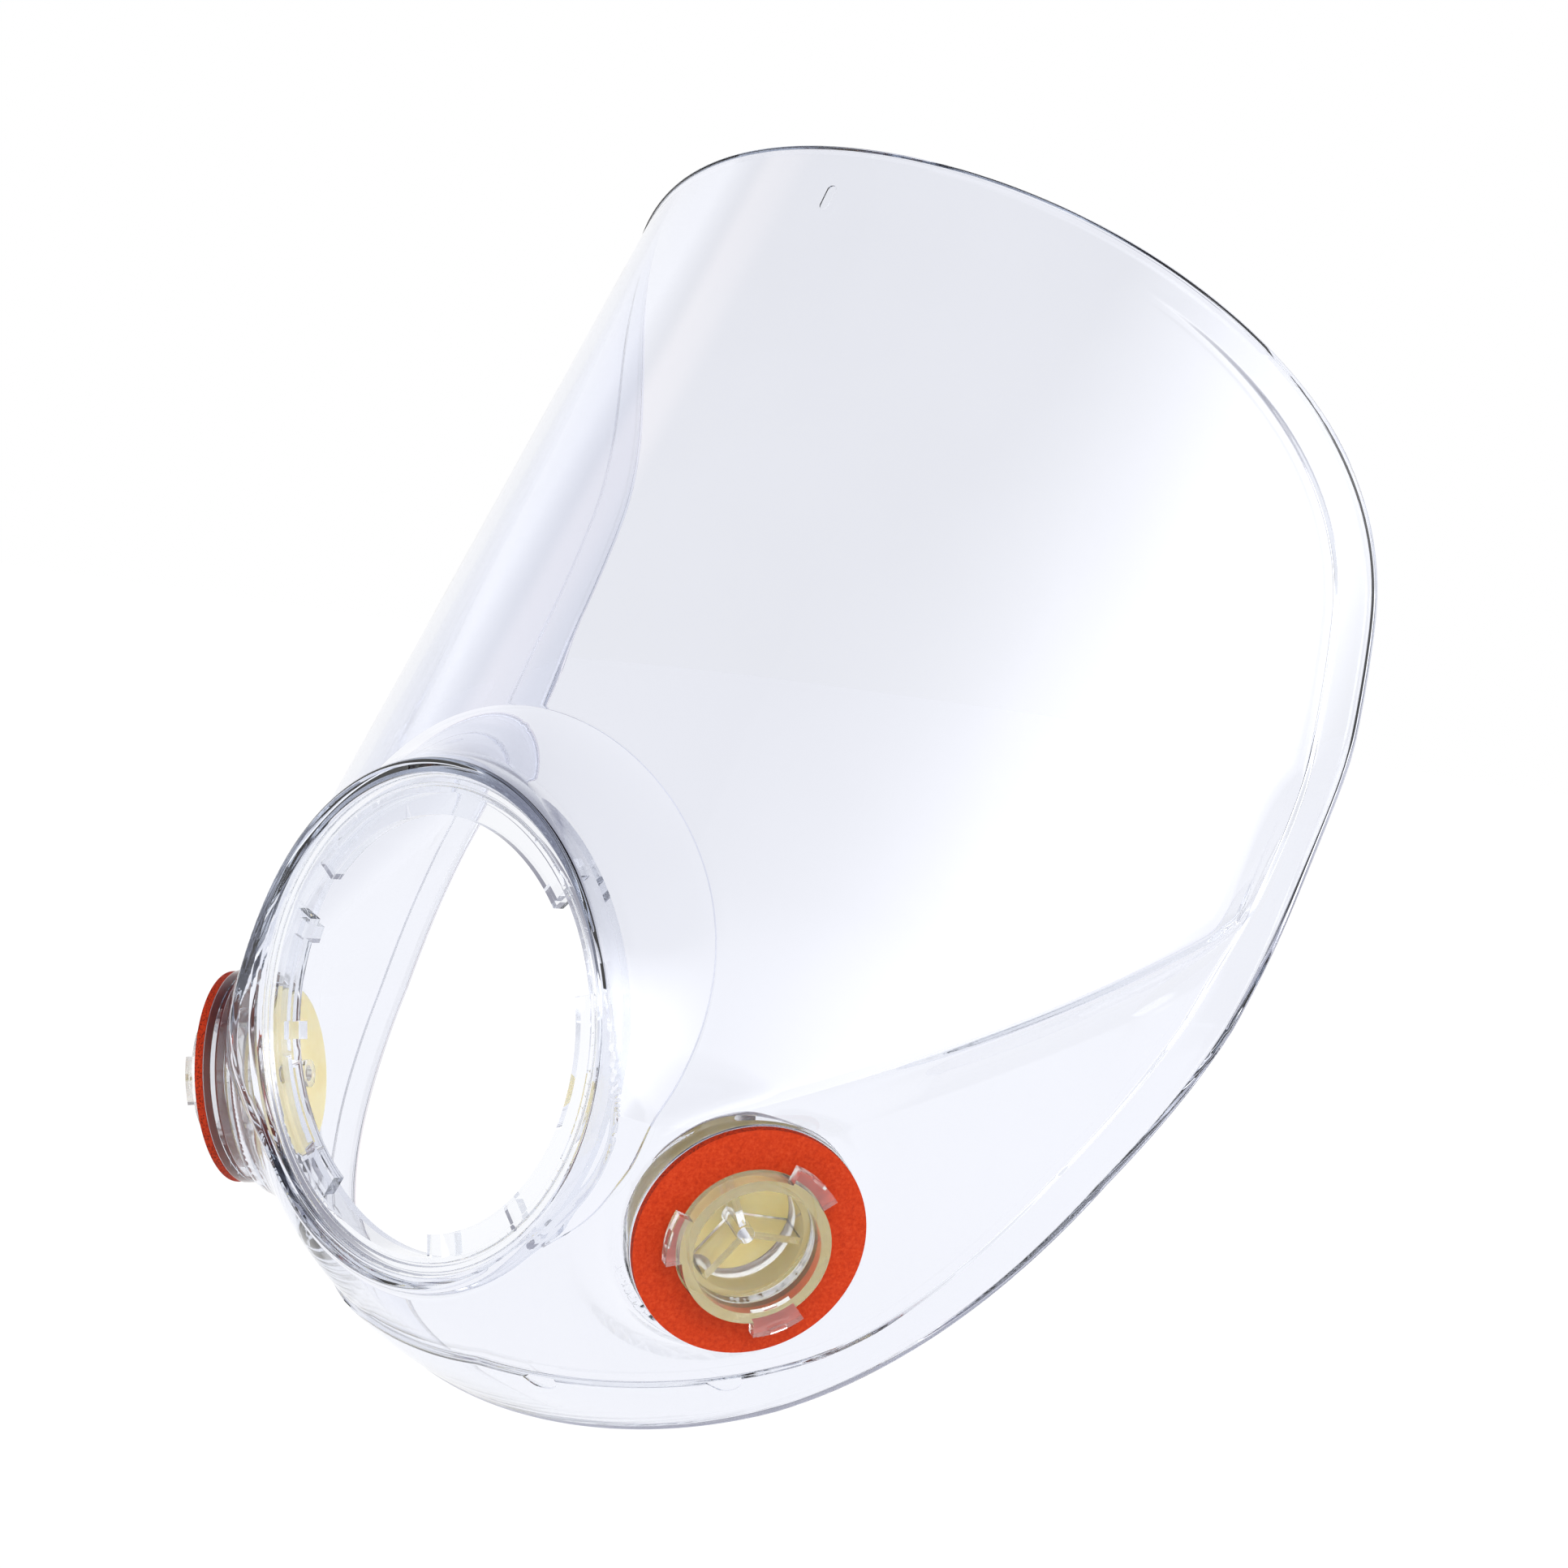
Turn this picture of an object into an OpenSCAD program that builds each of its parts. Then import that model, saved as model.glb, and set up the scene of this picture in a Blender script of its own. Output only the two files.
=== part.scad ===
// Lens assembly of a full-face breathing mask: a clear one-piece visor and jaw moulding with a round
// centre port, a bayonet ring inside that port, and a bayonet filter port with gasket and valve flap
// on each cheek. Millimetres. The origin is the centre of the centre port's front lip, +Z is up,
// -Y is the way the port faces and +X is the wearer's left.

/* [Visor] */
// Radius of the visor's cone at the height of the centre port's axis
visor_r = 114.3; // [113:0.1:116]
// Angle by which the axis of the visor's cone leans back
visor_lean = 18.3; // [17:0.1:20]
// Angle between the cone's axis and its side, narrowing upwards
visor_taper = 6.8; // [6:0.1:8]
// Depth of the cone's axis behind the port's lip, at the height of the centre port's axis
visor_axis_y = 117.4; // [116:0.1:119]
// Half of the width across the cheeks, where the sides of the visor are drawn in
cheek_x = 104.2; // [103:0.1:107]
// Wall thickness of the moulding
lens_t = 2.4; // [2:0.1:3]
// Width of the raised flange along the rim, measured front to back
flange_w = 10; // [8:0.5:14]
// Height of the flange's step above the visor
flange_step = 0.8; // [0.4:0.1:1.2]

/* [Jaw] */
// Height of the jaw's own round axis above the centre port's axis
jaw_lift = 5; // [3:0.5:7]
// Growth of the jaw's radius with depth
jaw_gain = 4.1; // [4:0.05:4.4]
// Height of the crease between visor and jaw at the centre port's lip
crease_drop = -8.8; // [-10:0.1:-7]
// Angle at which the crease rises towards the ear
crease_rise = 26; // [24:0.1:28]

/* [Centre port] */
// Outer radius of the centre port's lip
lip_r = 47.8; // [47:0.1:49]
// Radius of the bore that the bayonet ring sits in
seat_r = 45.2; // [44.5:0.1:45.8]
// Radius of the bayonet ring's own bore
ring_bore_r = 41.8; // [41:0.1:42.5]
// Radius of the opening between the bayonet ledges
ledge_r = 37.7; // [36:0.1:39]
// Length of the bayonet ring along the port
ring_len = 6; // [5:0.5:8]

/* [Filter ports] */
// Distance of a gasket's face centre from the mid plane
port_x = 69.6; // [69:0.1:70.5]
// Depth of a gasket's face centre behind the centre port's lip
port_y = 19; // [18.5:0.1:19.5]
// Height of a gasket's face centre
port_z = -24.2; // [-25:0.1:-23.5]
// Angle by which a filter port faces forwards from straight sideways
port_splay = 28.5; // [27:0.5:30]
// Angle by which a filter port faces down
port_dip = 12.2; // [11:0.2:13.4]
// Outer radius of the gasket
gasket_r = 20.75; // [20.3:0.05:21]
// Thickness of the gasket
gasket_t = 1.6; // [1.4:0.1:2]
// Outer radius of the bayonet collar
collar_r = 13.2; // [13:0.1:13.6]
// Radius of the airway at the collar's mouth
airway_r = 11.3; // [11:0.1:11.6]
// Height of the collar above the gasket's face
collar_h = 4; // [3.6:0.1:5]
// Outer radius over the bayonet lugs
lug_r = 16; // [15.4:0.1:16.6]

/* [Inhalation valves] */
// Radius of the valve flap
flap_r = 17.3; // [16.5:0.1:17.6]
// Thickness of the valve flap
flap_t = 0.8; // [0.6:0.1:1]
// Distance that the flap can lift off its seat
flap_lift = 2; // [1.5:0.1:2.5]

/* [Hidden] */

$fn = 120;
// Length of a cutting block, more than the whole object
far = 400;
// Distance that a cutter runs past the face it opens, and that joined solids sink into each other
over = 1;

// Nose: bevel that turns the visor and jaw in to the lip, so that nothing stands in front of it
nose_depth = 6;
nose_flare = 12;

// Jaw: radius about its own axis grows as a power of the depth behind the lip
jaw_power = 0.57;
jaw_depth = 150;
jaw_steps = 20;
function jaw_radius(y) = lip_r + jaw_gain * pow(max(y, 0), jaw_power);

// Snout: a short cone that carries the centre port out of the visor, thicker where the ring sits
snout_depth = 24;
snout_flare = 3;
ring_front = 2;
seat_depth = ring_front + ring_len;

// Rim, seen from the side, as [depth, height]: three curves that meet at the temple and the cheek
rim_top = [66, 176];
rim_shoulder = [138.5, 134];
rim_temple = [132, 96];
rim_ear = [125, 55];
rim_cheek = [98, 13];
rim_jowl = [61, -45];
rim_chin = [32, -72];
rim_below = rim_chin + 0.2 * (rim_chin - rim_jowl);
rim_front = -60;
rim_steps = 12;
function curve(a, b, c) =
    [for (i = [0:rim_steps]) let (t = i / rim_steps) a * (1 - t) * (1 - t) + b * 2 * t * (1 - t) + c * t * t];

// Filter port, all heights measured outwards along its axis from the gasket's face
port_at = [port_x, port_y, port_z];
port_turn = [0, 90 + port_dip, -port_splay];
boss_r = 21;
boss_wall = 2.2;
boss_plate = 2;
boss_back = -11;
gasket_hole_play = 0.3;

// Collar: tube, seat flange behind it, and ribs that carry the valve's peg
seat_back = -11.2;
seat_t = 1.6;
seat_flange_r = 17.9;
seat_open_r = 10.2;
airway_step = -2.4;
rib_front = -3.4;
rib_t = 1.3;
lug_t = 2.6;
lug_angle = 34;
lug_turn = 27;
lug_count = 3;
pocket_r = 0.6;
pocket_len = 3;
pocket_depth = 0.6;

// Peg on the collar's axis, which joins the ribs and holds the flap by its centre hole
peg_r = 1.6;
peg_front = rib_front + 0.5;
peg_head_r = 2.7;
peg_head_t = 1.2;
peg_play = 0.3;
flap_gap = 0.05;
peg_back = seat_back - flap_gap - flap_t - flap_lift - 0.2;

// Bayonet ring: [start, end] angle of each ledge, and the angles of the stops behind them
ledge_spans = [[43, 146], [160, 240], [282, 378]];
stop_angles = [48, 165, 193, 288, 314];
ledge_front = 2.6;
ledge_t = 2.4;
stop_w = 3.4;
stop_h = 1.8;

// Turns a shape drawn around +Z so that it stands around the centre port's axis, facing -Y
module about_port() {
    rotate([90, 0, 0]) children();
}

// Turns a shape drawn around +Z so that it stands on the left filter port's axis
module on_filter_port() {
    translate(port_at) rotate(port_turn) children();
}

// Everything above the crease plane, moved up by rise
module above_crease(rise) {
    translate([0, 0, crease_drop + rise / cos(crease_rise)])
        rotate([crease_rise, 0, 0])
            translate([-far / 2, -far / 2, 0]) cube(far);
}

// Everything below the crease plane, moved up by rise
module below_crease(rise) {
    translate([0, 0, crease_drop + rise / cos(crease_rise)])
        rotate([crease_rise, 0, 0])
            translate([-far / 2, -far / 2, -far]) cube(far);
}

// Round visor form, a cone that narrows upwards, grown outwards by grow
module visor_form(grow) {
    reach = far / 2;
    translate([0, visor_axis_y, 0])
        rotate([-visor_lean, 0, 0])
            translate([0, 0, -reach])
                cylinder(r1 = visor_r + grow + reach * tan(visor_taper),
                         r2 = visor_r + grow - reach * tan(visor_taper), h = 2 * reach);
}

// Round jaw form, grown outwards by grow
module jaw_form(grow) {
    outline = [for (i = [0:jaw_steps]) let (y = jaw_depth * pow(i / jaw_steps, 2)) [jaw_radius(y) + grow, -y]];
    translate([0, 0, jaw_lift])
        about_port()
            rotate_extrude()
                polygon(concat([[0, -jaw_depth], [0, 0]], outline));
}

// Cone that carries the centre port, grown outwards by grow
module snout_form(grow) {
    about_port()
        rotate_extrude()
            polygon([[0, 0], [lip_r + grow, 0], [lip_r + snout_flare + grow, -snout_depth], [0, -snout_depth]]);
}

// Space behind the ring's seat, inside the cone
module snout_space() {
    intersection() {
        snout_form(-lens_t);
        translate([-far / 2, seat_depth, -far / 2]) cube(far);
    }
}

// Everything behind the nose's bevel, moved back by shift
module nose_form(shift) {
    translate([0, shift, 0])
        about_port()
            rotate_extrude()
                polygon([[0, 0], [lip_r, 0], [lip_r + nose_flare, -nose_depth],
                         [far / 2, -nose_depth], [far / 2, -far / 2], [0, -far / 2]]);
}

// Everything between the cheeks, grown outwards by grow
module between_cheeks(grow) {
    half = cheek_x + grow;
    translate([-half, -far / 2, -far / 2]) cube([2 * half, far, far]);
}

// Visor above the crease and jaw below it, as one solid grown outwards by grow
module face_form(grow) {
    intersection() {
        union() {
            intersection() { visor_form(grow); above_crease(0); }
            intersection() { jaw_form(grow); below_crease(0); }
        }
        nose_form(0);
        between_cheeks(grow);
    }
}

// Space inside the moulding
module face_space() {
    intersection() {
        union() {
            intersection() { visor_form(-lens_t); above_crease(lens_t); }
            intersection() { jaw_form(-lens_t); below_crease(-lens_t); }
            intersection() { visor_form(-lens_t); jaw_form(-lens_t); }
        }
        nose_form(lens_t);
        between_cheeks(-lens_t);
    }
}

// Block in front of the rim, moved forwards by shift
module in_front_of_rim(shift) {
    side = concat(curve(rim_top, rim_shoulder, rim_temple),
                  curve(rim_temple, rim_ear, rim_cheek),
                  curve(rim_cheek, rim_jowl, rim_chin));
    outline = concat([[rim_front, rim_below[1]], [rim_front, rim_top[1]]], side, [rim_below]);
    translate([-far / 2, -shift, 0])
        rotate([90, 0, 90])
            linear_extrude(height = far) polygon(outline);
}

// Cup on the cheek that carries a filter port
module boss() {
    on_filter_port() translate([0, 0, boss_back]) cylinder(r = boss_r, h = -gasket_t - boss_back);
}

// Hollow of that cup, with the collar's hole through its front plate
module boss_space() {
    on_filter_port() {
        translate([0, 0, boss_back - over])
            cylinder(r = boss_r - boss_wall, h = over - gasket_t - boss_plate - boss_back);
        translate([0, 0, boss_back]) cylinder(r = collar_r, h = -boss_back + over);
    }
}

// Raised flange along the rim
module flange_form() {
    difference() {
        intersection() { face_form(flange_step); in_front_of_rim(0); }
        in_front_of_rim(flange_w);
    }
}

module both_sides() {
    children();
    mirror([1, 0, 0]) children();
}

module lens() {
    color([0.86, 0.9, 0.95, 0.35])
        difference() {
            union() {
                intersection() {
                    union() { face_form(0); snout_form(0); }
                    in_front_of_rim(0);
                }
                flange_form();
                both_sides() boss();
            }
            face_space();
            snout_space();
            about_port() translate([0, 0, -snout_depth]) cylinder(r = seat_r, h = 2 * snout_depth);
            both_sides() boss_space();
        }
}

// Part of a ring from angle a to angle b around +Z
module ring_part(r_in, r_out, height, a, b) {
    rotate([0, 0, a])
        rotate_extrude(angle = b - a)
            translate([r_in, 0]) square([r_out - r_in, height]);
}

module bayonet_ledge(span) {
    translate([0, 0, -ledge_front - ledge_t])
        ring_part(ledge_r, ring_bore_r + over, ledge_t, span[0], span[1]);
}

module ledge_stop(angle) {
    rotate([0, 0, angle])
        translate([ledge_r, -stop_w / 2, -ledge_front - ledge_t - stop_h])
            cube([ring_bore_r + over - ledge_r, stop_w, stop_h + over]);
}

module port_ring() {
    color([0.84, 0.88, 0.94, 0.4])
        about_port() {
            difference() {
                translate([0, 0, -seat_depth]) cylinder(r = seat_r, h = ring_len);
                translate([0, 0, -seat_depth - over]) cylinder(r = ring_bore_r, h = ring_len + 2 * over);
            }
            for (span = ledge_spans) bayonet_ledge(span);
            for (angle = stop_angles) ledge_stop(angle);
        }
}

// One bayonet lug with a small pocket in its outer face
module lug() {
    difference() {
        translate([0, 0, collar_h - lug_t])
            ring_part(airway_r + over, lug_r, lug_t, -lug_angle / 2, lug_angle / 2);
        translate([lug_r - pocket_depth, -pocket_len / 2, collar_h - lug_t / 2 - pocket_r])
            cube([pocket_depth + over, pocket_len, 2 * pocket_r]);
    }
}

// Rib from the peg to the tube's wall
module rib() {
    translate([peg_r / 2, -rib_t / 2, seat_back])
        cube([seat_open_r + over - peg_r / 2, rib_t, rib_front - seat_back]);
}

module collar_tube() {
    difference() {
        union() {
            translate([0, 0, seat_back]) cylinder(r = collar_r, h = collar_h - seat_back);
            translate([0, 0, seat_back]) cylinder(r = seat_flange_r, h = seat_t);
        }
        translate([0, 0, airway_step]) cylinder(r = airway_r, h = far);
        translate([0, 0, seat_back - over]) cylinder(r = seat_open_r, h = far);
    }
}

module valve_peg() {
    translate([0, 0, peg_back]) cylinder(r = peg_r, h = peg_front - peg_back);
    translate([0, 0, peg_back - peg_head_t]) cylinder(r = peg_head_r, h = peg_head_t);
}

module bayonet_collar() {
    color([0.88, 0.88, 0.86, 0.6])
        on_filter_port() {
            collar_tube();
            for (i = [0:lug_count - 1]) rotate([0, 0, lug_turn + i * 360 / lug_count]) {
                lug();
                rotate([0, 0, 180 / lug_count]) rib();
            }
            valve_peg();
        }
}

module gasket() {
    color([0.83, 0.27, 0.1])
        on_filter_port()
            translate([0, 0, -gasket_t])
                difference() {
                    cylinder(r = gasket_r, h = gasket_t);
                    translate([0, 0, -over])
                        cylinder(r = collar_r + gasket_hole_play, h = gasket_t + 2 * over);
                }
}

module valve_flap() {
    color([0.9, 0.83, 0.65])
        on_filter_port()
            translate([0, 0, seat_back - flap_gap - flap_t])
                difference() {
                    cylinder(r = flap_r, h = flap_t);
                    translate([0, 0, -over]) cylinder(r = peg_r + peg_play, h = flap_t + 2 * over);
                }
}

lens();
port_ring();
bayonet_collar();  // left_bayonet_collar
gasket();  // left_gasket
valve_flap();  // left_valve_flap
mirror([1, 0, 0]) bayonet_collar();  // right_bayonet_collar
mirror([1, 0, 0]) gasket();  // right_gasket
mirror([1, 0, 0]) valve_flap();  // right_valve_flap
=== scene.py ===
"""Looks of a full-face mask's lens assembly: clear moulding, bayonet ring, filter ports and valves."""

import math

import bmesh
import bpy
import numpy as np
from mathutils import Matrix, Vector


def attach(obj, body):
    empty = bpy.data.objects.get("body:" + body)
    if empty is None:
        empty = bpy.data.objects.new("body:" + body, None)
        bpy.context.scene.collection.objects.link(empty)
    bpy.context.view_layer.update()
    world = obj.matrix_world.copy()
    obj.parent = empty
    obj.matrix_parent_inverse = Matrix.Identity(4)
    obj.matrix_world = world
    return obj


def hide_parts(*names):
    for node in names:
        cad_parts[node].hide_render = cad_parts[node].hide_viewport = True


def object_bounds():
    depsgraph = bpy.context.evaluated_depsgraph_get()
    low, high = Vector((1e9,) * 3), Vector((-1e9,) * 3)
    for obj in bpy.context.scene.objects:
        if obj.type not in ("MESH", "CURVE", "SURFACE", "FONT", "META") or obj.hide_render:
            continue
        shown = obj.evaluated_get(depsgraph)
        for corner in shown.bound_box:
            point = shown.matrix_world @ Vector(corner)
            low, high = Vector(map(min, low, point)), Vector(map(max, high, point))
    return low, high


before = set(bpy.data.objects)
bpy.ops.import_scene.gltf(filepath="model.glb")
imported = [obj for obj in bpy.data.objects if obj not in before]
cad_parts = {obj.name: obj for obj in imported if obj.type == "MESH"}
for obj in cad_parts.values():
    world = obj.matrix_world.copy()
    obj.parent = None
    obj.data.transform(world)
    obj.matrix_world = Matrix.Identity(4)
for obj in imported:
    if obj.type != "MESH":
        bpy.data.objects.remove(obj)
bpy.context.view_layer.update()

MM = 0.001

# ---------------------------------------------------------------------------------------------
# Form of the clear moulding, in millimetres. Each form is a function of x, y and z that is below zero
# inside the moulding's outline, and about the distance to it nearby.
# ---------------------------------------------------------------------------------------------
WALL = 2.4
# visor: a cone about an axis that leans back
CONE_R, CONE_LEAN, CONE_TAPER, CONE_Y = 114.3, math.radians(18.3), math.radians(6.8), 117.4
# jaw: round about its own axis, with a little squareness under the port
JAW_LIFT, JAW_GAIN, JAW_POWER = 5.0, 4.1, 0.57
JAW_SQUARE, JAW_SQUARE_Y, JAW_SQUARE_TOP, JAW_SQUARE_FADE = 2.3, 45.0, 20.0, 30.0
# crease between visor and jaw, and the fold at it
CREASE_DROP, CREASE_RISE = -8.8, math.radians(26)
FOLD_RUN, FOLD_FLAT_RUN, FOLD_END, FOLD_FADE, FOLD_SOFT = 10.0, 20.0, 20.0, 12.0, 0.7
# centre port: bore, neck, and the fillets outside and inside its foot
LIP_R, BORE_R, BORE_STRAIGHT = 47.8, 45.25, 8.0
NECK_FLARE = 3.0 / 24.0
NOSE_RISE, NOSE_RUN = 0.447, 0.894
COLLAR_FILLET, COLLAR_KINK, INNER_FILLET, LEAST_FILLET = 14.0, 1.2, 10.0, 1.5
COLLAR_STEP, COLLAR_RAMP, COLLAR_END_R = 0.35, 0.22, 64.0
FADE_START, FADE_ARC = -45.0, 33.0
LIP_ROUND, LIP_STEP_R, LIP_STEP, LIP_STEP_RUN = 0.6, 46.6, 0.8, 0.5
RING_FRONT = 2.0
# filter port on the wearer's left, and the pad that carries it
PORT = (69.6, 19.0, -24.2)
PORT_SPLAY, PORT_DIP = math.radians(28.5), math.radians(12.2)
PAD_R, PAD_BACK, PAD_DEPTH, PAD_FLARE = 22.5, 6.2, 14.0, 0.5
PAD_SLOPE, PAD_FILLET, PAD_ROUND = 0.9, 2.5, 2.0
CUP_R, CUP_BACK, CUP_FRONT, CUP_ROUND = 21.0, -7.6, -1.6, 0.5
HOLLOW_R, HOLLOW_BACK, HOLLOW_FRONT, HOLLOW_ROUND = 18.8, -24.0, -3.6, 0.6
HOLE_R, HOLE_FRONT = 13.25, 6.0
# raised flange along the rim
FLANGE_W, FLANGE_CHIN, FLANGE_STEP, FLANGE_RAMP = 11.0, 22.0, 0.8, 0.6
FLANGE_OUT_Z, FLANGE_OUT_RUN = 132.0, 18.0
EDGE_ROUND = 0.45
# rim seen from the side, as (depth, height): the corners of three curves joined end to end
RIM = ((66, 176), (138.5, 134), (132, 96), (125, 55), (98, 13), (61, -45), (32, -72))
# every surface is found along rays from this point inside the mask
EYE = (0.0, 57.0, 0.0)
RAY_NEAR, RAY_FAR = 20.0, 240.0


def union_round(a, b, k):
    """Both forms together, with a fillet of radius k between them."""
    return np.maximum(k, np.minimum(a, b)) - np.hypot(np.maximum(k - a, 0), np.maximum(k - b, 0))


def cut_round(a, b, k):
    """What the two forms share, with its edge rounded by k."""
    return np.minimum(-k, np.maximum(a, b)) + np.hypot(np.maximum(k + a, 0), np.maximum(k + b, 0))


def eased(t):
    """Goes from 0 to 1 with a level start and end."""
    return t * t * (3 - 2 * t)


def visor(x, y, z):
    dy = y - CONE_Y
    along = dy * math.sin(CONE_LEAN) + z * math.cos(CONE_LEAN)
    across = dy * math.cos(CONE_LEAN) - z * math.sin(CONE_LEAN)
    return (np.hypot(x, across) - CONE_R + along * math.tan(CONE_TAPER)) * math.cos(CONE_TAPER)


def jaw(x, y, z):
    """Round about its own axis at the port, and a little square below it towards the rim."""
    depth = np.maximum(y, 0.5)
    slope = JAW_GAIN * JAW_POWER * depth ** (JAW_POWER - 1)
    corners = -JAW_SQUARE * np.cos(4 * np.arctan2(x, z - JAW_LIFT))
    fade = np.clip(y / JAW_SQUARE_Y, 0, 1) ** 2 * np.clip((JAW_SQUARE_TOP - z) / JAW_SQUARE_FADE, 0, 1)
    radius = LIP_R + JAW_GAIN * np.maximum(y, 1e-6) ** JAW_POWER + corners * fade
    return (np.hypot(x, z - JAW_LIFT) - radius) / np.sqrt(1 + slope * slope)


def crease(y, z):
    """Height above the crease plane."""
    return (z - CREASE_DROP) * math.cos(CREASE_RISE) - y * math.sin(CREASE_RISE)


def nose(r, y):
    """Cone that trims the face round the lip."""
    return (r - LIP_R) * NOSE_RISE - y * NOSE_RUN


def pad(x, y, z):
    """Low cone on the jaw that carries the filter port's cup."""
    level = math.cos(PORT_DIP)
    axis = (level * math.cos(PORT_SPLAY), -level * math.sin(PORT_SPLAY), -math.sin(PORT_DIP))
    dx, dy, dz = x - PORT[0], y - PORT[1], z - PORT[2]
    out = dx * axis[0] + dy * axis[1] + dz * axis[2]
    r = np.sqrt(np.maximum(dx * dx + dy * dy + dz * dz - out * out, 0))
    depth = np.clip(-PAD_BACK - out, 0, PAD_DEPTH)
    return cut_round(out + PAD_BACK, (r - PAD_R - depth * PAD_FLARE) * PAD_SLOPE, PAD_ROUND)


def face(x, y, z):
    """Visor above the crease, jaw some way below it. The visor folds at the crease and runs down to the
    jaw; towards the rim the fold dies out and the one form eases into the other on both sides."""
    v, j, up = visor(x, y, z), jaw(x, y, z), crease(y, z)
    below = 0.5 * (np.hypot(up, FOLD_SOFT) - up)
    fold = np.clip(below / FOLD_RUN, 0, 1)
    folded = fold * (2 - fold)
    gentle = eased(np.clip((FOLD_FLAT_RUN - up) / (2 * FOLD_FLAT_RUN), 0, 1))
    near_rim = eased(np.clip((FOLD_END - to_rim(y, z)) / FOLD_FADE, 0, 1))
    part = folded + (gentle - folded) * near_rim
    body = cut_round(v + (j - v) * part, nose(np.hypot(x, z), y), 1.0)
    return union_round(body, pad(x, y, z), PAD_FILLET)


def fade_down(x, z):
    """1 above and beside the port, falling to 0 below it, where the neck runs into the jaw."""
    angle = np.degrees(np.arctan2(z, np.abs(x)))
    return eased(np.clip((angle - FADE_START) / FADE_ARC, 0, 1))


def neck_form(x, y, z):
    """Neck with the fillet at its foot, which meets the face at a slight angle."""
    fade = fade_down(x, z)
    neck = np.hypot(x, z) - LIP_R - NECK_FLARE * np.maximum(y, 0)
    return union_round(neck, face(x, y, z) + COLLAR_KINK * fade,
                       LEAST_FILLET + (COLLAR_FILLET - LEAST_FILLET) * fade)


def outer_form(x, y, z):
    """The whole outside, with the lip's stepped front."""
    form = np.minimum(neck_form(x, y, z), face(x, y, z))
    top = LIP_STEP * np.clip((LIP_STEP_R - np.hypot(x, z)) / LIP_STEP_RUN, 0, 1)
    return cut_round(form, top - y, LIP_ROUND)


def inner_form(x, y, z):
    """The space inside, which stays a wall's thickness behind the lip outside its bore."""
    fade = fade_down(x, z)
    bore = np.hypot(x, z) - BORE_R - NECK_FLARE * np.maximum(y - BORE_STRAIGHT, 0)
    space = union_round(bore, face(x, y, z) + WALL, LEAST_FILLET + INNER_FILLET * fade)
    return np.maximum(space, np.minimum(bore, WALL - y))


def rim_side(n=300):
    """The rim's heights, and its depth at each of them. It runs on straight below the chin."""
    corners = np.array(RIM, float)
    t = np.linspace(0, 1, n)[:, None]
    pts = [corners[i] * (1 - t) ** 2 + 2 * corners[i + 1] * t * (1 - t) + corners[i + 2] * t * t
           for i in (0, 2, 4)]
    pts.append((corners[6] + 0.5 * (corners[6] - corners[5]))[None])
    pts = np.vstack(pts)
    order = np.argsort(pts[:, 1])
    return pts[order, 1], pts[order, 0]


RIM_Z, RIM_Y = rim_side()


def to_rim(y, z):
    """Distance in front of the rim."""
    return np.interp(z, RIM_Z, RIM_Y) - y


def past_flange(x, y, z):
    """Distance in front of the raised flange along the rim, which is wider under the chin."""
    chin = np.clip((75 - np.abs(x)) / 60, 0, 1) ** 1.3 * np.clip((-10 - z) / 20, 0, 1)
    return to_rim(y, z) - FLANGE_W - FLANGE_CHIN * chin


def aim(phi, psi):
    """Direction at angle phi about the centre port's axis and psi away from it."""
    return np.sin(psi) * np.cos(phi), -np.cos(psi), np.sin(psi) * np.sin(phi)


def reach(form, phi, psi, steps=34):
    """How far a ray from EYE goes before it leaves the form."""
    dx, dy, dz = aim(phi, psi)
    shape = np.broadcast(phi, psi).shape
    lo, hi = np.full(shape, RAY_NEAR), np.full(shape, RAY_FAR)
    for _ in range(steps):
        mid = 0.5 * (lo + hi)
        inside = form(EYE[0] + dx * mid, EYE[1] + dy * mid, EYE[2] + dz * mid) < 0
        lo, hi = np.where(inside, mid, lo), np.where(inside, hi, mid)
    mid = 0.5 * (lo + hi)
    return np.stack([EYE[0] + dx * mid, EYE[1] + dy * mid, EYE[2] + dz * mid], axis=-1)


def first_cross(values, level, start):
    """Index, with fraction, at which a falling run of values first passes the level after start."""
    below = np.nonzero(values[start:] <= level)[0]
    if len(below) == 0:
        return float(len(values) - 1)
    i = max(below[0] + start, 1)
    a, b = values[i - 1], values[i]
    return i - 1 + (a - level) / max(a - b, 1e-9)


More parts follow.
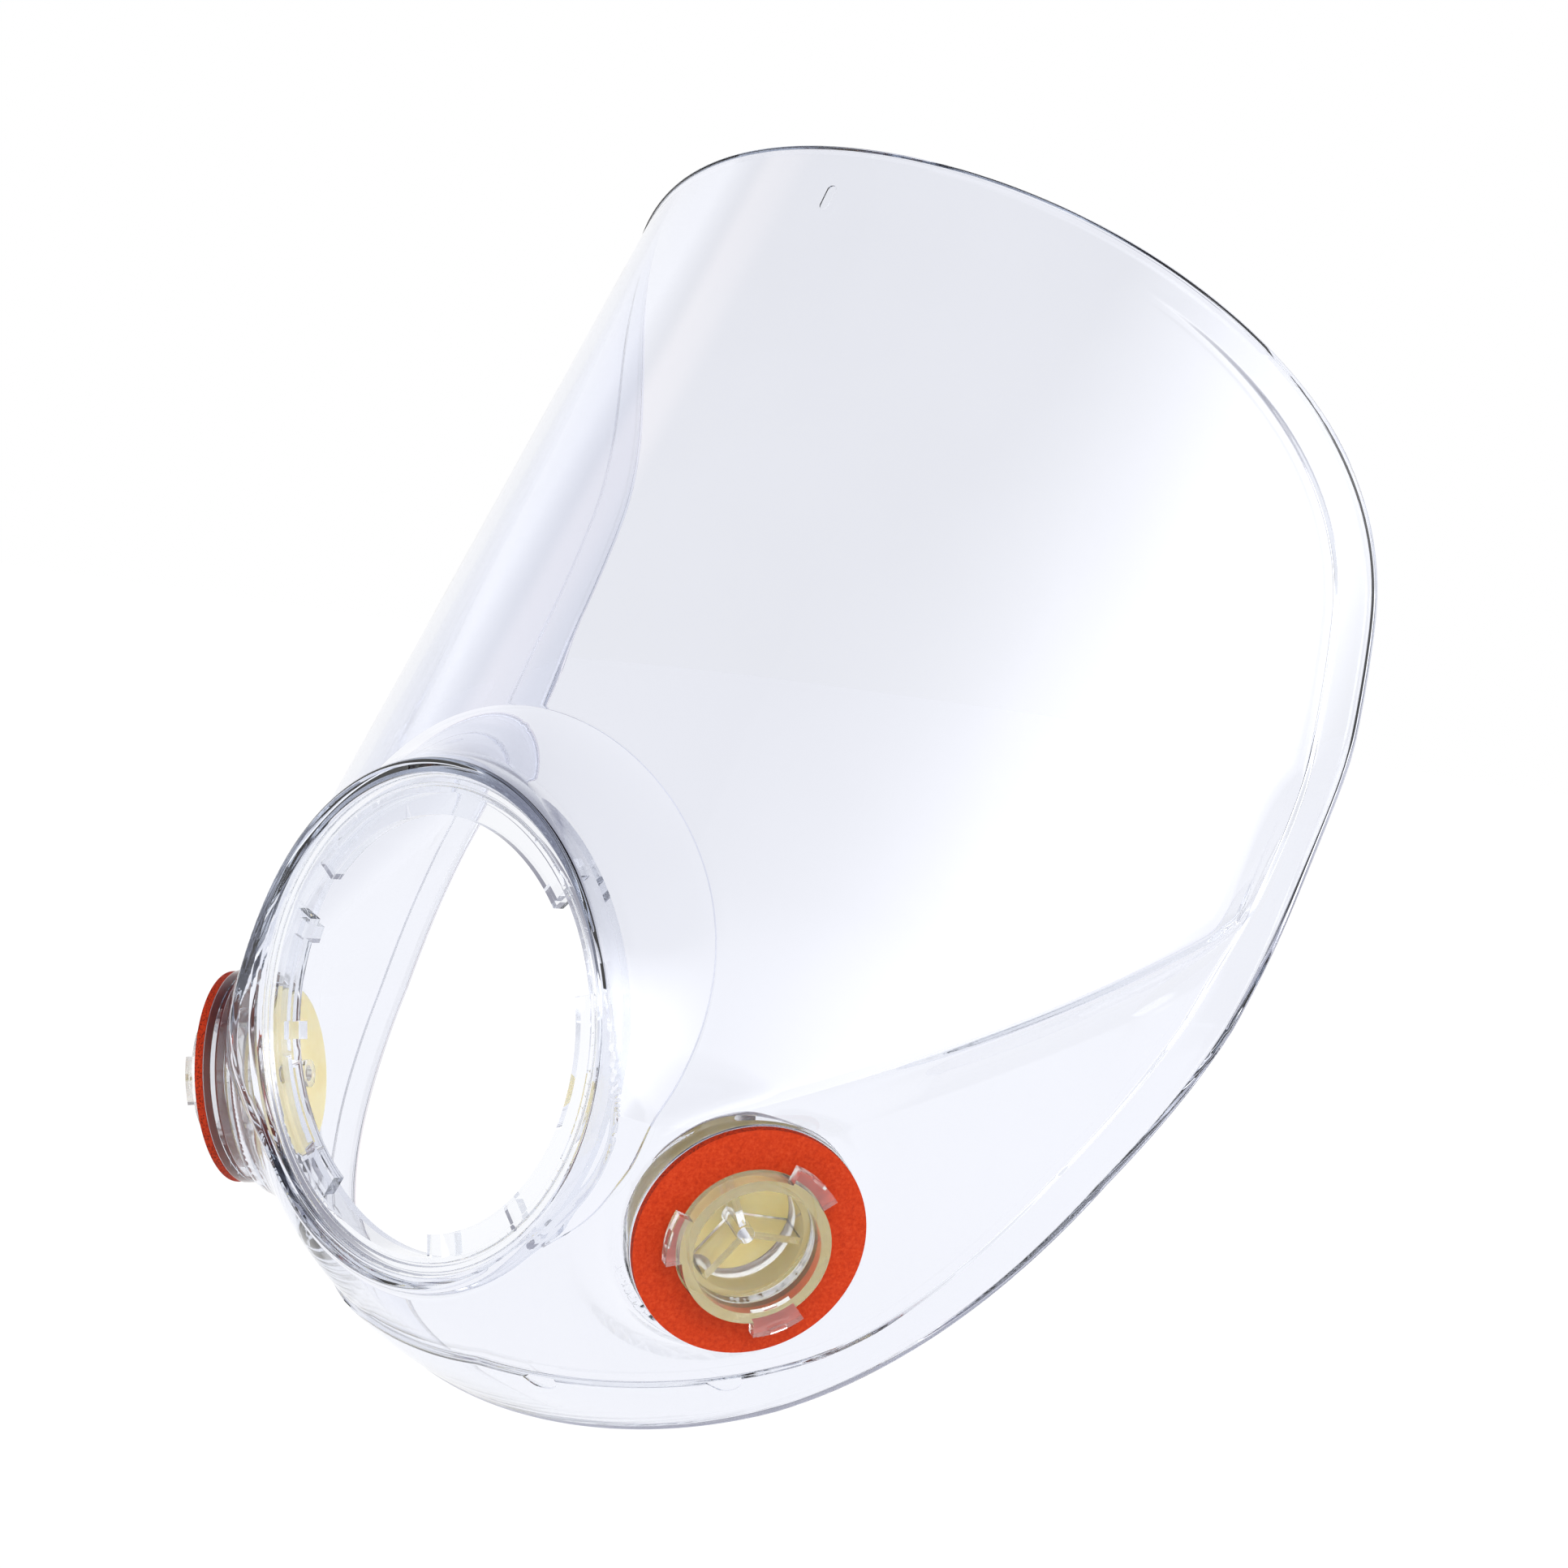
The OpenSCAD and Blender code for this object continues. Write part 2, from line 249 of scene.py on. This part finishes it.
def sheet(form, phis, corner_psi, rows, lip):
    """Rows of points on the form for each angle about the port, from the lip to the rim. lip is its
    length. rows holds the number of rows for each stretch: lip, neck and fillet, the fillet's edge, face,
    flange step, flange."""
    psis = np.linspace(corner_psi, math.radians(150), 2600)
    index = np.arange(len(psis))
    out = []
    for phi in phis:
        p = reach(form, phi, psis, 26)
        step = np.linalg.norm(np.diff(p, axis=0), axis=1)
        s = np.concatenate([[0], np.cumsum(step)])
        gap = to_rim(p[:, 1], p[:, 2])
        before = past_flange(p[:, 0], p[:, 1], p[:, 2])
        r = np.hypot(p[:, 0], p[:, 2])
        j = int(np.searchsorted(s, lip))

        def where(values, level):
            return float(np.interp(first_cross(values, level, j), index, s))

        foot = neck_form(p[:, 0], p[:, 1], p[:, 2]) - face(p[:, 0], p[:, 1], p[:, 2])
        fillet = min(max(where(-foot, 0.0), lip + 2), where(-r, -COLLAR_END_R))
        ends = [0, lip, fillet - COLLAR_RAMP, fillet + COLLAR_RAMP, where(before, FLANGE_RAMP),
                where(before, -FLANGE_RAMP), where(gap, 0.0)]
        marks = [np.linspace(a, b, n, endpoint=False) for a, b, n in zip(ends, ends[1:], rows[:-1])]
        marks.append(np.linspace(ends[-2], ends[-1], rows[-1]))
        out.append(np.interp(np.concatenate(marks), s, psis))
    return reach(form, phis[:, None], np.array(out), 40)


def outward_normals(form, pts):
    h = 0.02
    x, y, z = pts[..., 0], pts[..., 1], pts[..., 2]
    n = np.stack([form(x + h, y, z) - form(x - h, y, z), form(x, y + h, z) - form(x, y - h, z),
                  form(x, y, z + h) - form(x, y, z - h)], axis=-1)
    return n / np.maximum(np.linalg.norm(n, axis=-1, keepdims=True), 1e-9)


def column_angles():
    """Angles about the port for the wearer's left half, closer together where the crease runs out."""
    coarse, fine = ((0.75, 0.17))
    spans = ((-90, -14, coarse), (-14, 34, fine), (34, 90, coarse))
    runs = [np.arange(start, end - 1e-6, step) for start, end, step in spans]
    return np.radians(np.concatenate(runs + [[90.0]]))


def moulding_points():
    phis = column_angles()
    corner = math.atan2(BORE_R, EYE[1] - LIP_STEP)
    lip_rows, neck_rows, line_rows = 22, 40, 5
    outer = sheet(outer_form, phis, corner, (lip_rows, neck_rows, line_rows, 145, 9, 24), 3.4)
    inner = sheet(inner_form, phis, corner, (10, 26, 2, 120, 2, 8), 6.0)
    x, y, z = outer[..., 0], outer[..., 1], outer[..., 2]
    # raised flange along the rim, which runs out towards the brow
    rise = eased(np.clip((FLANGE_RAMP - past_flange(x, y, z)) / (2 * FLANGE_RAMP), 0, 1))
    lift = FLANGE_STEP * rise * (1 - np.clip((z - FLANGE_OUT_Z) / FLANGE_OUT_RUN, 0, 1))
    # small step where the fillet round the port ends
    row = np.arange(outer.shape[1])
    grow = np.clip((row - lip_rows) / neck_rows, 0, 1) ** 2
    drop = np.clip((row - lip_rows - neck_rows) / (line_rows - 1), 0, 1)
    lift = lift + COLLAR_STEP * fade_down(x, z) * (grow * (1 - drop))[None, :]
    outer = outer + outward_normals(outer_form, outer) * lift[..., None]
    # the rim's own face, with small rounded edges
    a, b = outer[:, -1], inner[:, -1]
    back = np.array([0, 1.0, 0])
    across = (b - a) / np.linalg.norm(b - a, axis=1, keepdims=True)
    corner_a, corner_b = [], []
    for t in np.radians([0, 30, 60, 90]):
        inset = across * EDGE_ROUND * (1 - math.cos(t))
        sunk = back * EDGE_ROUND * (1 - math.sin(t))
        corner_a.append(a + inset - sunk)
        corner_b.append(b - inset - sunk)
    edge = np.stack(corner_a + corner_b[::-1], axis=1)
    return np.concatenate([outer[:, :-1], edge, inner[:, -2:0:-1]], axis=1)


def mirrored(half):
    """Columns for both halves, in order about the port, from those of the wearer's left half."""
    other = half[-2:0:-1] * np.array([-1, 1, 1])
    half = half.copy()
    half[0, :, 0] = 0
    half[-1, :, 0] = 0
    return np.concatenate([half, other], axis=0)


def grid_mesh(name, pts):
    """A closed mesh from points that wrap round in both directions."""
    cols, rows = pts.shape[:2]
    index = np.arange(cols * rows).reshape(cols, rows)
    right = np.roll(index, -1, axis=0)
    quads = np.stack([index, right, np.roll(right, -1, axis=1), np.roll(index, -1, axis=1)], axis=-1)
    mesh = bpy.data.meshes.new(name)
    mesh.from_pydata((pts.reshape(-1, 3) * MM).tolist(), [], quads.reshape(-1, 4).tolist())
    bm = bmesh.new()
    bm.from_mesh(mesh)
    bmesh.ops.recalc_face_normals(bm, faces=bm.faces)
    bm.to_mesh(mesh)
    bm.free()
    mesh.update()
    return mesh


def new_object(name, mesh):
    obj = bpy.data.objects.new(name, mesh)
    bpy.context.scene.collection.objects.link(obj)
    return obj


def smooth(obj, degrees=32):
    """Smooth shading, with sharp edges where faces meet at more than the angle."""
    for p in obj.data.polygons:
        p.use_smooth = True
    obj.data.set_sharp_from_angle(angle=math.radians(degrees))


def lathe(name, profile, segments):
    """Closed solid of revolution about +Z from a closed profile of (radius, height), in millimetres."""
    n = len(profile)
    prof = np.array(profile, float)
    a = np.linspace(0, 2 * math.pi, segments, endpoint=False)
    pts = np.stack([np.outer(np.cos(a), prof[:, 0]), np.outer(np.sin(a), prof[:, 0]),
                    np.tile(prof[:, 1], (segments, 1))], axis=-1)
    return new_object(name, grid_mesh(name, pts))


PORT_AT = Vector(PORT) * MM
PORT_TURN = Matrix.Rotation(-PORT_SPLAY, 4, "Z") @ Matrix.Rotation(math.radians(90) + PORT_DIP, 4, "Y")


def port_matrix(side):
    """Takes +Z to the axis of the filter port on the wearer's left (side 1) or right (side -1)."""
    m = Matrix.Translation(PORT_AT) @ PORT_TURN
    return m if side > 0 else Matrix.Diagonal((-1, 1, 1, 1)) @ m


def place(obj, matrix):
    """Moves the mesh itself, so that the object stays at the origin."""
    obj.data.transform(matrix)
    if matrix.determinant() < 0:
        obj.data.flip_normals()
    obj.data.update()
    return obj


def boolean(target, tool, how):
    """Joins the tool to the target's mesh or cuts it out, and removes the tool."""
    mod = target.modifiers.new("cut", "BOOLEAN")
    mod.operation = how
    mod.solver = "MANIFOLD"
    mod.object = tool
    bpy.context.view_layer.update()
    deps = bpy.context.evaluated_depsgraph_get()
    mesh = bpy.data.meshes.new_from_object(target.evaluated_get(deps))
    target.modifiers.remove(mod)
    old = target.data
    target.data = mesh
    bpy.data.meshes.remove(old)
    bpy.data.objects.remove(tool)


def prism(bm, rings):
    """Adds to bm a closed solid through rings of points, with flat ends."""
    rings = [[bm.verts.new(p) for p in ring] for ring in rings]
    n = len(rings[0])
    for a, b in zip(rings, rings[1:]):
        for i in range(n):
            bm.faces.new((a[i], a[(i + 1) % n], b[(i + 1) % n], b[i]))
    bm.faces.new(rings[0][::-1])
    bm.faces.new(rings[-1])


def solid(name, bm):
    """New object from bm, which it frees."""
    bmesh.ops.recalc_face_normals(bm, faces=bm.faces)
    mesh = bpy.data.meshes.new(name)
    bm.to_mesh(mesh)
    bm.free()
    return new_object(name, mesh)


def rod(name, radius, low, high, bevel=0.0, segments=192):
    """Solid cylinder about +Z, with its two edges rounded by bevel."""
    turns = np.radians(np.linspace(0, 90, 5 if bevel else 1))
    corner = [(bevel * (1 - math.sin(t)), bevel * (1 - math.cos(t))) for t in turns]
    profile = [(radius - inset, low + rise) for inset, rise in corner]
    profile += [(radius - inset, high - drop) for inset, drop in corner[::-1]]
    angles = np.linspace(0, 2 * math.pi, segments, endpoint=False)
    bm = bmesh.new()
    prism(bm, [[(r * math.cos(a) * MM, r * math.sin(a) * MM, z * MM) for a in angles] for r, z in profile])
    return solid(name, bm)


def pocket(bm, near, up, outline, low, high, mirror=False):
    """Adds to bm a prism that stands on the moulding where the ray from EYE towards near meets it. The
    outline is in the surface's plane, its second axis along up. low and high are heights over it."""
    d = np.array(near, float) - EYE
    phi, psi = math.atan2(d[2], d[0]), math.atan2(math.hypot(d[0], d[2]), -d[1])
    at = reach(outer_form, np.array(phi), np.array(psi))
    normal = Vector(outward_normals(outer_form, at))
    along = (Vector(up) - normal * normal.dot(Vector(up))).normalized()
    side = along.cross(normal)
    for sign in ((1, -1) if mirror else (1,)):
        rings = []
        for height in (low, high):
            ring = [(Vector(at) + side * u + along * v + normal * height) * MM for u, v in outline]
            rings.append([(sign * p.x, p.y, p.z) for p in ring])
        prism(bm, rings)


def arc(radius, start, end, at, n=13):
    """Points of an arc from start to end, in degrees, about (0, at)."""
    return [(radius * math.cos(math.radians(a)), at + radius * math.sin(math.radians(a)))
            for a in np.linspace(start, end, n)]


def build_marks():
    """Cutter for the shallow moulding marks: a slot in the brow, half-rounds on the flange by the chin."""
    bm = bmesh.new()
    slot_r, slot_run, half_r, half_run, root = 1.0, 1.7, 2.8, 1.8, -0.4
    sunk, clear = 0.3, 3.0
    slot = arc(slot_r, 0, 180, slot_run) + arc(slot_r, 180, 360, -slot_run)
    half_round = arc(half_r, 0, 180, half_run) + [(-half_r, root), (half_r, root)]
    pocket(bm, (7.5, 68.1, 161.7), (0, math.sin(CONE_LEAN), math.cos(CONE_LEAN)), slot, -sunk, clear)
    for near in ((12, 8.5, -55.5), (26, 16.5, -59), (55.5, 32.5, -53)):
        pocket(bm, near, (0, 1, 0), half_round, FLANGE_STEP - sunk, clear, mirror=True)
    return solid("marks", bm)


def build_moulding():
    """The clear moulding, with a cup for each filter port's collar: a plate with a hole, hollow behind."""
    pts = mirrored(moulding_points())
    obj = new_object("clear_moulding", grid_mesh("clear_moulding", pts))
    for side in (1, -1):
        boolean(obj, place(rod("cup", CUP_R, CUP_BACK, CUP_FRONT, CUP_ROUND), port_matrix(side)), "UNION")
    for side in (1, -1):
        hollow = rod("hollow", HOLLOW_R, HOLLOW_BACK, HOLLOW_FRONT, HOLLOW_ROUND)
        boolean(obj, place(hollow, port_matrix(side)), "DIFFERENCE")
        hole = rod("hole", HOLE_R, HOLLOW_BACK, HOLE_FRONT)
        boolean(obj, place(hole, port_matrix(side)), "DIFFERENCE")
    boolean(obj, build_marks(), "DIFFERENCE")
    smooth(obj)
    return obj


def groove(inner, outer, front, depth):
    """Ring-shaped cutter about the centre port, with a rounded bottom. It goes depth below the face, which
    is at front."""
    middle, half = 0.5 * (inner + outer), 0.5 * (outer - inner)
    bottom = [(middle + half * math.cos(math.radians(a)), -front - depth * math.sin(math.radians(a)))
              for a in range(0, 181, 15)]
    tool = lathe("groove", bottom + [(inner, 1.0 - front), (outer, 1.0 - front)], 240)
    return place(tool, Matrix.Rotation(math.radians(90), 4, "X"))


def build_ring():
    """The bayonet ring with the two fine grooves that run round its face."""
    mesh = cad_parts["port_ring"].data.copy()
    bm = bmesh.new()
    bm.from_mesh(mesh)
    bmesh.ops.remove_doubles(bm, verts=bm.verts, dist=1e-6)
    sharp = [e for e in bm.edges if e.is_manifold and e.calc_face_angle() > math.radians(40)]
    bmesh.ops.bevel(bm, geom=sharp, offset=0.3 * MM, segments=2, profile=0.5, affect="EDGES",
                    clamp_overlap=True)
    bm.to_mesh(mesh)
    bm.free()
    ring = new_object("grooved_ring", mesh)
    boolean(ring, groove(42.7, 43.5, RING_FRONT, 0.45), "DIFFERENCE")
    boolean(ring, groove(44.3, 45.0, RING_FRONT, 0.45), "DIFFERENCE")
    smooth(ring)
    weigh = ring.modifiers.new("flat_faces", "WEIGHTED_NORMAL")
    weigh.keep_sharp = True
    return ring


# ---------------------------------------------------------------------------------------------
# Materials
# ---------------------------------------------------------------------------------------------
def material(name):
    """New node material, its node tree and its main shader."""
    m = bpy.data.materials.new(name)
    m.use_nodes = True
    t = m.node_tree
    return m, t, t.nodes["Principled BSDF"]


def noise(tree, scale, detail=4.0, rough=0.5):
    """Noise fixed to the object. A scale of 1000 gives grains of about a millimetre."""
    coord = tree.nodes.new("ShaderNodeTexCoord")
    n = tree.nodes.new("ShaderNodeTexNoise")
    n.inputs["Scale"].default_value = scale
    n.inputs["Detail"].default_value = detail
    n.inputs["Roughness"].default_value = rough
    tree.links.new(coord.outputs["Object"], n.inputs["Vector"])
    return n.outputs["Fac"]


def ramp(tree, fac, stops):
    """Colour ramp through (position, colour) stops."""
    r = tree.nodes.new("ShaderNodeValToRGB")
    els = r.color_ramp.elements
    while len(els) < len(stops):
        els.new(0.5)
    for e, (pos, col) in zip(els, stops):
        e.position = pos
        e.color = (*col, 1.0)
    tree.links.new(fac, r.inputs["Fac"])
    return r.outputs["Color"]


def bump(tree, height, strength, distance, bsdf):
    b = tree.nodes.new("ShaderNodeBump")
    b.inputs["Strength"].default_value = strength
    b.inputs["Distance"].default_value = distance
    tree.links.new(height, b.inputs["Height"])
    tree.links.new(b.outputs["Normal"], bsdf.inputs["Normal"])


def mixed(tree, blend, factor, a, b):
    """Colour mix of the output a and the output or colour b. factor is a number or an output."""
    mix = tree.nodes.new("ShaderNodeMix")
    mix.data_type = "RGBA"
    mix.blend_type = blend
    if isinstance(factor, float):
        mix.inputs["Factor"].default_value = factor
    else:
        tree.links.new(factor, mix.inputs["Factor"])
    tree.links.new(a, mix.inputs[6])
    if isinstance(b, tuple):
        mix.inputs[7].default_value = b
    else:
        tree.links.new(b, mix.inputs[7])
    return mix.outputs[2]


def grey(v):
    return (v, v, v)


def clear_plastic(name, tint, rough_high):
    """Clear polycarbonate: faintly blue, with the odd fine scuff and a slightly uneven skin."""
    m, t, b = material(name)
    b.inputs["IOR"].default_value = 1.585
    b.inputs["Transmission Weight"].default_value = 1.0
    darker = tuple(c * 0.985 for c in tint)
    t.links.new(ramp(t, noise(t, 35.0, 3.0), [(0.3, darker), (0.7, tint)]), b.inputs["Base Color"])
    fine = noise(t, 420.0, 5.0, 0.6)
    t.links.new(ramp(t, fine, [(0.45, grey(0.0)), (0.8, grey(rough_high))]), b.inputs["Roughness"])
    bump(t, noise(t, 18.0, 2.0), 0.04, 0.0004, b)
    vol = t.nodes.new("ShaderNodeVolumeAbsorption")
    vol.inputs["Color"].default_value = (0.64, 0.69, 0.77, 1)
    vol.inputs["Density"].default_value = 12.0
    t.links.new(vol.outputs["Volume"], t.nodes["Material Output"].inputs["Volume"])
    return m


def milky_plastic(name):
    """Translucent moulded plastic with a finely textured skin."""
    m, t, b = material(name)
    b.inputs["IOR"].default_value = 1.5
    b.inputs["Transmission Weight"].default_value = 0.96
    cloud = ramp(t, noise(t, 60.0), [(0.3, (0.94, 0.94, 0.93)), (0.7, (0.98, 0.98, 0.97))])
    t.links.new(cloud, b.inputs["Base Color"])
    worn = ramp(t, noise(t, 300.0, 6.0), [(0.35, grey(0.04)), (0.75, grey(0.12))])
    t.links.new(worn, b.inputs["Roughness"])
    bump(t, noise(t, 900.0, 4.0), 0.08, 0.00012, b)
    return m


def port_axis(side):
    return port_matrix(side).to_3x3() @ Vector((0, 0, 1))


def foam_rubber(name, side):
    """Orange sponge rubber: closed grainy skin on the flat faces, dark open pores on the cut edge."""
    m, t, b = material(name)
    skin = ramp(t, noise(t, 1500.0, 8.0, 0.7),
                [(0.30, (0.36, 0.022, 0.003)), (0.5, (0.48, 0.034, 0.005)), (0.72, (0.56, 0.060, 0.014))])
    fleck = t.nodes.new("ShaderNodeTexVoronoi")
    fleck.inputs["Scale"].default_value = 2400.0
    coord = t.nodes.new("ShaderNodeTexCoord")
    t.links.new(coord.outputs["Object"], fleck.inputs["Vector"])
    pores = ramp(t, fleck.outputs["Distance"],
                 [(0.18, (0.07, 0.008, 0.003)), (0.42, (0.34, 0.022, 0.004)), (0.8, (0.42, 0.030, 0.005))])
    geometry = t.nodes.new("ShaderNodeNewGeometry")
    facing = t.nodes.new("ShaderNodeVectorMath")
    facing.operation = "DOT_PRODUCT"
    facing.inputs[1].default_value = port_axis(side)
    t.links.new(geometry.outputs["True Normal"], facing.inputs[0])
    size = t.nodes.new("ShaderNodeMath")
    size.operation = "ABSOLUTE"
    t.links.new(facing.outputs["Value"], size.inputs[0])
    edge = ramp(t, size.outputs["Value"], [(0.45, grey(1.0)), (0.8, grey(0.0))])
    t.links.new(mixed(t, "MIX", edge, skin, pores), b.inputs["Base Color"])
    t.links.new(ramp(t, noise(t, 500.0, 4.0), [(0.3, grey(0.6)), (0.7, grey(0.78))]), b.inputs["Roughness"])
    b.inputs["Specular IOR Level"].default_value = 0.15
    bump(t, noise(t, 2200.0, 7.0, 0.7), 0.35, 0.0002, b)
    return m


def valve_rubber(name):
    """Thin cream silicone that lets some of the light behind it through, with a faint painted glow that
    stands in for the light from behind.
    """
    m, t, b = material(name)
    cream = ramp(t, noise(t, 160.0, 5.0),
                 [(0.32, (0.85, 0.68, 0.36)), (0.5, (0.89, 0.73, 0.42)), (0.72, (0.92, 0.78, 0.49))])
    t.links.new(cream, b.inputs["Base Color"])
    t.links.new(ramp(t, noise(t, 90.0, 4.0), [(0.3, grey(0.36)), (0.7, grey(0.52))]), b.inputs["Roughness"])
    b.inputs["Subsurface Weight"].default_value = 0.7
    b.inputs["Subsurface Radius"].default_value = (1.0, 0.8, 0.45)
    b.inputs["Subsurface Scale"].default_value = 0.003
    # painted glow: a faint cream emission makes the flap look lit from behind; it is not a lamp
    b.inputs["Emission Color"].default_value = (0.85, 0.70, 0.42, 1)
    b.inputs["Emission Strength"].default_value = 0.10
    bump(t, noise(t, 420.0, 6.0, 0.7), 0.08, 0.0003, b)
    return m


CLEAR = clear_plastic("clear_polycarbonate", (0.87, 0.885, 0.945), 0.03)
RING = clear_plastic("clear_ring", (0.93, 0.94, 0.965), 0.04)
MILKY = milky_plastic("milky_plastic")
CREAM = valve_rubber("cream_silicone")


def dress(obj, mat, round_by=0.0):
    """Gives the object its material and rounds its edges by round_by metres."""
    obj.data.materials.clear()
    obj.data.materials.append(mat)
    if round_by:
        bevel = obj.modifiers.new("rounded_edges", "BEVEL")
        bevel.width = round_by
        bevel.segments = 2
        bevel.limit_method = "ANGLE"
        bevel.angle_limit = math.radians(40)


def stands_for(piece, node_name):
    """The piece is shown in place of a CAD node."""
    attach(piece, "mask")
    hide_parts(node_name)


moulding = build_moulding()
dress(moulding, CLEAR)
stands_for(moulding, "lens")
ring = build_ring()
dress(ring, RING)
stands_for(ring, "port_ring")
for name, side in (("left", 1), ("right", -1)):
    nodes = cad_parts
    dress(nodes[name + "_bayonet_collar"], MILKY, 0.00025)
    dress(nodes[name + "_gasket"], foam_rubber(name + "_orange_sponge", side), 0.0002)
    dress(nodes[name + "_valve_flap"], CREAM, 0.00015)

# ---------------------------------------------------------------------------------------------
# Studio: pale floor, pale surroundings, soft lights, camera
# ---------------------------------------------------------------------------------------------
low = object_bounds()[0]


def build_floor():
    """Pale round floor, set below the object."""
    z = low[2] - 0.06
    bm = bmesh.new()
    bmesh.ops.create_circle(bm, cap_ends=True, radius=9.0, segments=96)
    mesh = bpy.data.meshes.new("floor")
    bm.to_mesh(mesh)
    bm.free()
    mesh.transform(Matrix.Translation((0, 0, z)))
    floor = new_object("floor", mesh)
    m, t, b = material("floor_white")
    b.inputs["Base Color"].default_value = (0.12, 0.12, 0.12, 1)
    b.inputs["Roughness"].default_value = 1.0
    b.inputs["Specular IOR Level"].default_value = 0.0
    b.inputs["Emission Color"].default_value = (1, 1, 1, 1)
    b.inputs["Emission Strength"].default_value = 0.93
    floor.data.materials.append(m)


build_floor()


def build_world():
    """White all round at eye height, grey overhead, and one broad softbox high on the wearer's left, with
    two faint strips in front on the wearer's right. The background itself is white."""
    world = bpy.data.worlds.new("studio")
    bpy.context.scene.world = world
    world.use_nodes = True
    t = world.node_tree
    bg = t.nodes["Background"]
    coord = t.nodes.new("ShaderNodeTexCoord")
    sep = t.nodes.new("ShaderNodeSeparateXYZ")
    t.links.new(coord.outputs["Generated"], sep.inputs["Vector"])
    dome = ramp(t, sep.outputs["Z"], [(0.0, (1, 1, 1)), (0.20, (1, 1, 1)), (0.42, (0.62, 0.62, 0.66)),
                                      (0.72, (0.30, 0.30, 0.36)), (1.0, (0.34, 0.34, 0.42))])
    height = ramp(t, sep.outputs["Z"], [(0.20, grey(0)), (0.27, grey(1)), (0.52, grey(1)), (0.73, grey(0))])
    turn = t.nodes.new("ShaderNodeMath")
    turn.operation = "ARCTAN2"
    t.links.new(sep.outputs["X"], turn.inputs[0])
    t.links.new(sep.outputs["Y"], turn.inputs[1])
    share = t.nodes.new("ShaderNodeMapRange")
    share.inputs["From Min"].default_value = -math.pi
    share.inputs["From Max"].default_value = math.pi
    t.links.new(turn.outputs["Value"], share.inputs["Value"])

    def around(degrees):
        return 0.5 + degrees / 360

    side = ramp(t, share.outputs["Result"], [(around(38), grey(0)), (around(62), grey(1)),
                                             (around(118), grey(1)), (around(150), grey(0.45)),
                                             (around(176), grey(0.1))])
    stripe = ramp(t, share.outputs["Result"], [(around(-118), grey(0)), (around(-112), (0.45, 0.36, 0.30)),
                                               (around(-104), (0.45, 0.36, 0.30)), (around(-99), grey(0)),
                                               (around(-88), grey(0.5)), (around(-60), grey(0))])
    glow = t.nodes.new("ShaderNodeVectorMath")
    glow.operation = "SCALE"
    glow.inputs["Scale"].default_value = 2.4
    t.links.new(mixed(t, "MULTIPLY", 1.0, side, height), glow.inputs[0])
    lit = t.nodes.new("ShaderNodeVectorMath")
    t.links.new(dome, lit.inputs[0])
    t.links.new(glow.outputs[0], lit.inputs[1])
    striped = t.nodes.new("ShaderNodeVectorMath")
    t.links.new(lit.outputs[0], striped.inputs[0])
    t.links.new(mixed(t, "MULTIPLY", 1.0, stripe, height), striped.inputs[1])
    path = t.nodes.new("ShaderNodeLightPath")
    shown = mixed(t, "MIX", path.outputs["Is Camera Ray"], striped.outputs[0], (1, 1, 1, 1))
    t.links.new(shown, bg.inputs["Color"])
    bg.inputs["Strength"].default_value = 1.0


build_world()


def area(name, at, target, size, power):
    """Soft light that gives no mirror image of itself in the plastic."""
    data = bpy.data.lights.new(name, "AREA")
    data.shape = "RECTANGLE"
    data.size, data.size_y = size
    data.energy = power
    obj = bpy.data.objects.new(name, data)
    bpy.context.scene.collection.objects.link(obj)
    obj.location = at
    obj.rotation_euler = (Vector(target) - Vector(at)).to_track_quat("-Z", "Y").to_euler()
    obj.visible_glossy = False
    obj.visible_transmission = False


middle = (0.0, 0.06, 0.05)
area("key", (0.9, -0.7, 1.1), middle, (0.8, 0.8), 9)
area("fill", (-1.0, -0.9, 0.6), middle, (1.0, 1.0), 4)
area("back", (-0.5, 1.3, 0.7), middle, (1.2, 0.9), 5)

CAMERA_AT = Vector((0.43744, -0.40596, 0.08434))
RIGHT = Vector((0.73587, 0.66106, 0.14661))
UP = Vector((-0.14546, -0.05714, 0.98771))


def build_camera():
    """Camera in front of the wearer's left cheek, rolled so that the brow leans to the right."""
    data = bpy.data.cameras.new("camera")
    data.lens = 76.55
    data.sensor_width = 36.0
    data.clip_start = 0.01
    cam = bpy.data.objects.new("camera", data)
    bpy.context.scene.collection.objects.link(cam)
    back = RIGHT.cross(UP).normalized()
    up = back.cross(RIGHT).normalized()
    turn = Matrix((RIGHT.normalized(), up, back)).transposed().to_4x4()
    cam.matrix_world = Matrix.Translation(CAMERA_AT) @ turn
    bpy.context.scene.camera = cam


build_camera()
bpy.context.scene.view_settings.view_transform = "Standard"
bpy.context.scene.cycles.max_bounces = 32
bpy.context.scene.cycles.glossy_bounces = 24
bpy.context.scene.cycles.transmission_bounces = 32
